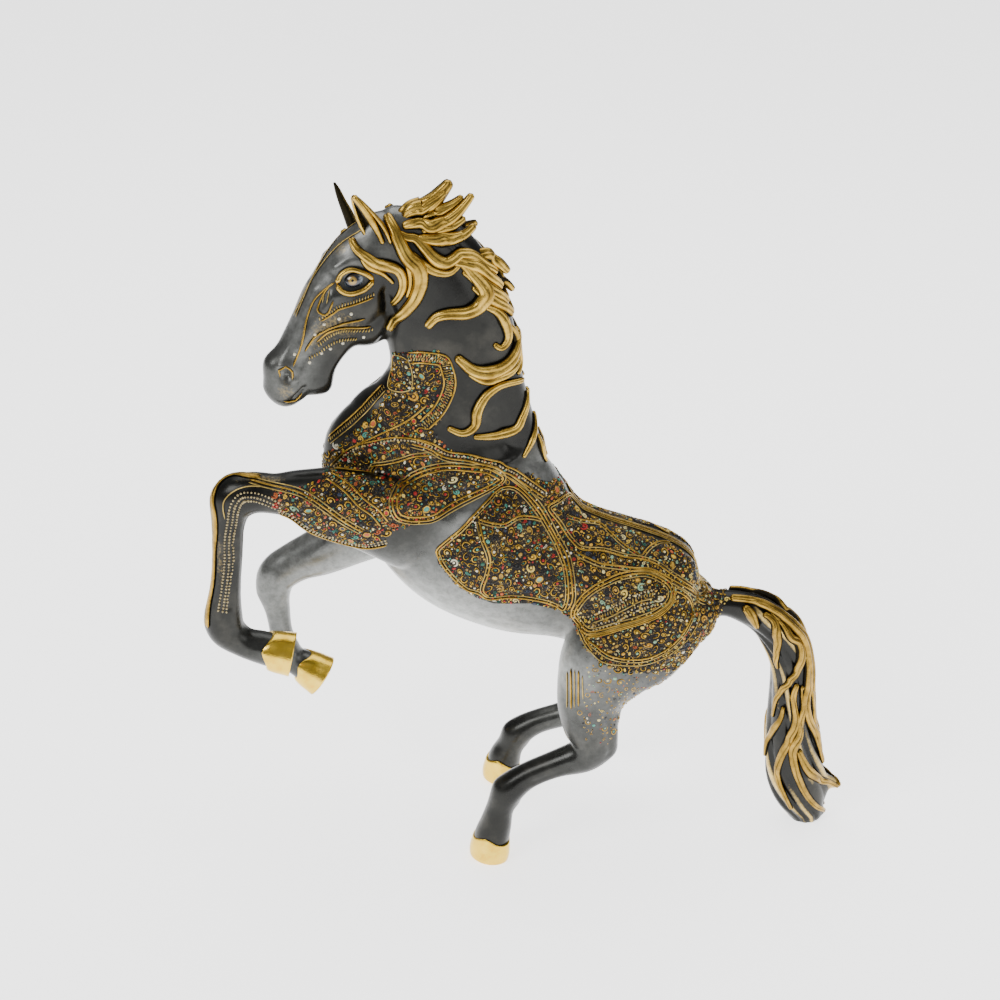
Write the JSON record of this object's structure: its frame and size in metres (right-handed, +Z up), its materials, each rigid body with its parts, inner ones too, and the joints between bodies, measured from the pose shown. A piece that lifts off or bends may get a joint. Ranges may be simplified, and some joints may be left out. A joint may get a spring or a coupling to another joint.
{
  "type": "rearing horse figurine",
  "caption": "Rearing horse figurine in dark patinated brass with a polished brass mane and hooves and inlaid enamel panels, standing on its hind hooves and tail.",
  "frame": {"origin": "middle of the bounding box, at the level of the surface the horse stands on", "axes": "+Z up, -X the way the horse faces, -Y the horse's left side, which shows in the usual view"},
  "size_m": [0.2954, 0.0806, 0.3227],
  "materials": {
    "patina": "dark gunmetal patina over cast brass, satin polished, rubbed bright on high spots",
    "polished_brass": "hand-brushed polished brass with dark patina in the hollows",
    "inlay": "engraved brass wires and scrolls, filled with red, turquoise, cream and black enamel chips",
    "eye_brass": "polished brass eye"
  },
  "bodies": {
    "root": {"body_left_shell": "patina", "body_right_shell": "patina", "head": "patina", "foreleg_left": "patina", "foreleg_right": "patina", "hind_leg_left": "patina", "hind_leg_right": "patina", "tail": "patina", "hoof_fore_left": "polished_brass", "hoof_fore_right": "polished_brass", "hoof_hind_left": "polished_brass", "hoof_hind_right": "polished_brass", "ear_left": "polished_brass", "ear_right": "polished_brass", "mane_cheek_left": "polished_brass", "mane_brow_left": "polished_brass", "mane_wave_left": "polished_brass", "mane_crook_left": "polished_brass", "mane_curl_left": "polished_brass", "mane_sickle_left": "polished_brass", "mane_hook_left": "polished_brass", "mane_scoop_left": "polished_brass", "neck_panel_left": "inlay", "breast_panel_left": "inlay", "shoulder_panel_left": "inlay", "barrel_panel_left": "inlay", "hip_panel_left": "inlay", "haunch_panel_left": "inlay", "croup_panel_left": "inlay", "eye_left": "eye_brass", "mane_cheek_right": "polished_brass", "mane_brow_right": "polished_brass", "mane_wave_right": "polished_brass", "mane_crook_right": "polished_brass", "mane_curl_right": "polished_brass", "mane_sickle_right": "polished_brass", "mane_hook_right": "polished_brass", "mane_scoop_right": "polished_brass", "neck_panel_right": "inlay", "breast_panel_right": "inlay", "shoulder_panel_right": "inlay", "barrel_panel_right": "inlay", "hip_panel_right": "inlay", "haunch_panel_right": "inlay", "croup_panel_right": "inlay", "eye_right": "eye_brass", "mane_plume_front": "polished_brass", "mane_plume_middle": "polished_brass", "mane_plume_rear": "polished_brass", "mane_plume_low": "polished_brass"}
  },
  "joints": []
}
